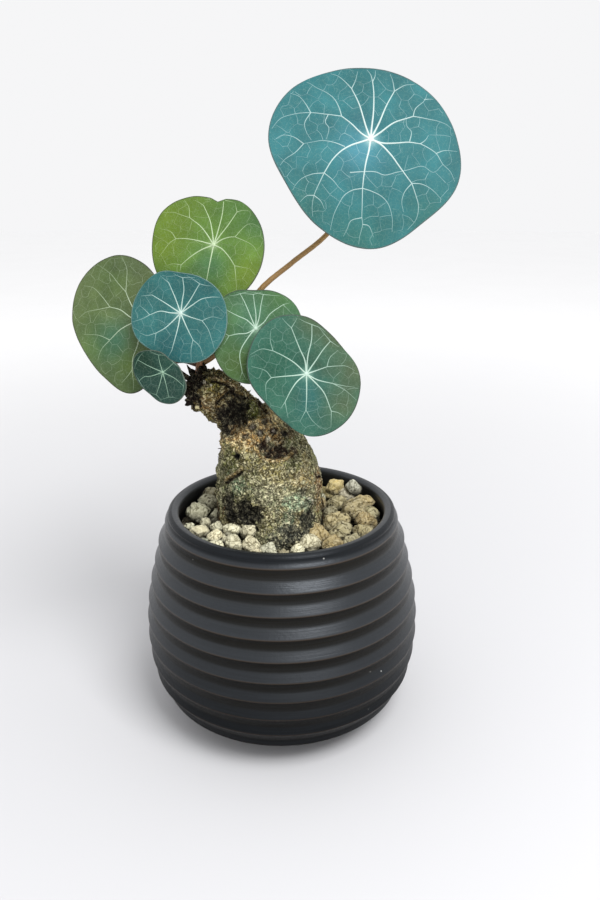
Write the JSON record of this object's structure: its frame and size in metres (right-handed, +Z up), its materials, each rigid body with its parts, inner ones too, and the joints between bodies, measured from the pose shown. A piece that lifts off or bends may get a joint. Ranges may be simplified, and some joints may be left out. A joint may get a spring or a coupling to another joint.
{
  "type": "potted caudex plant",
  "caption": "Potted Stephania erecta: a woody caudex with round long-stalked leaves, in a round-bellied ribbed charcoal pot top-dressed with pumice.",
  "frame": {"origin": "centre of the flat underside of the pot's base, where the pot rests", "axes": "+Z up along the pot's axis; -Y towards the front, the side the leaves face; +X to the right as seen from the front"},
  "size_m": [0.1499, 0.12, 0.2635],
  "materials": {
    "pot_ceramic": "matte charcoal, fine horizontal lines",
    "mix": "damp loose potting mix",
    "pumice_stone": "rough, pitted",
    "caudex_bark": "rough, speckled bark",
    "stem_skin": "smooth, slightly waxy",
    "leaf_blade": "matte, waxy, pale raised veins"
  },
  "bodies": {
    "root": {"pot": "pot_ceramic", "potting_mix": "mix", "pumice": "pumice_stone", "caudex": "caudex_bark", "vine_stem": "stem_skin", "leaf_1": "leaf_blade", "leaf_2": "leaf_blade", "leaf_3": "leaf_blade", "leaf_4": "leaf_blade", "leaf_5": "leaf_blade", "leaf_6": "leaf_blade", "leaf_7": "leaf_blade"}
  },
  "joints": []
}
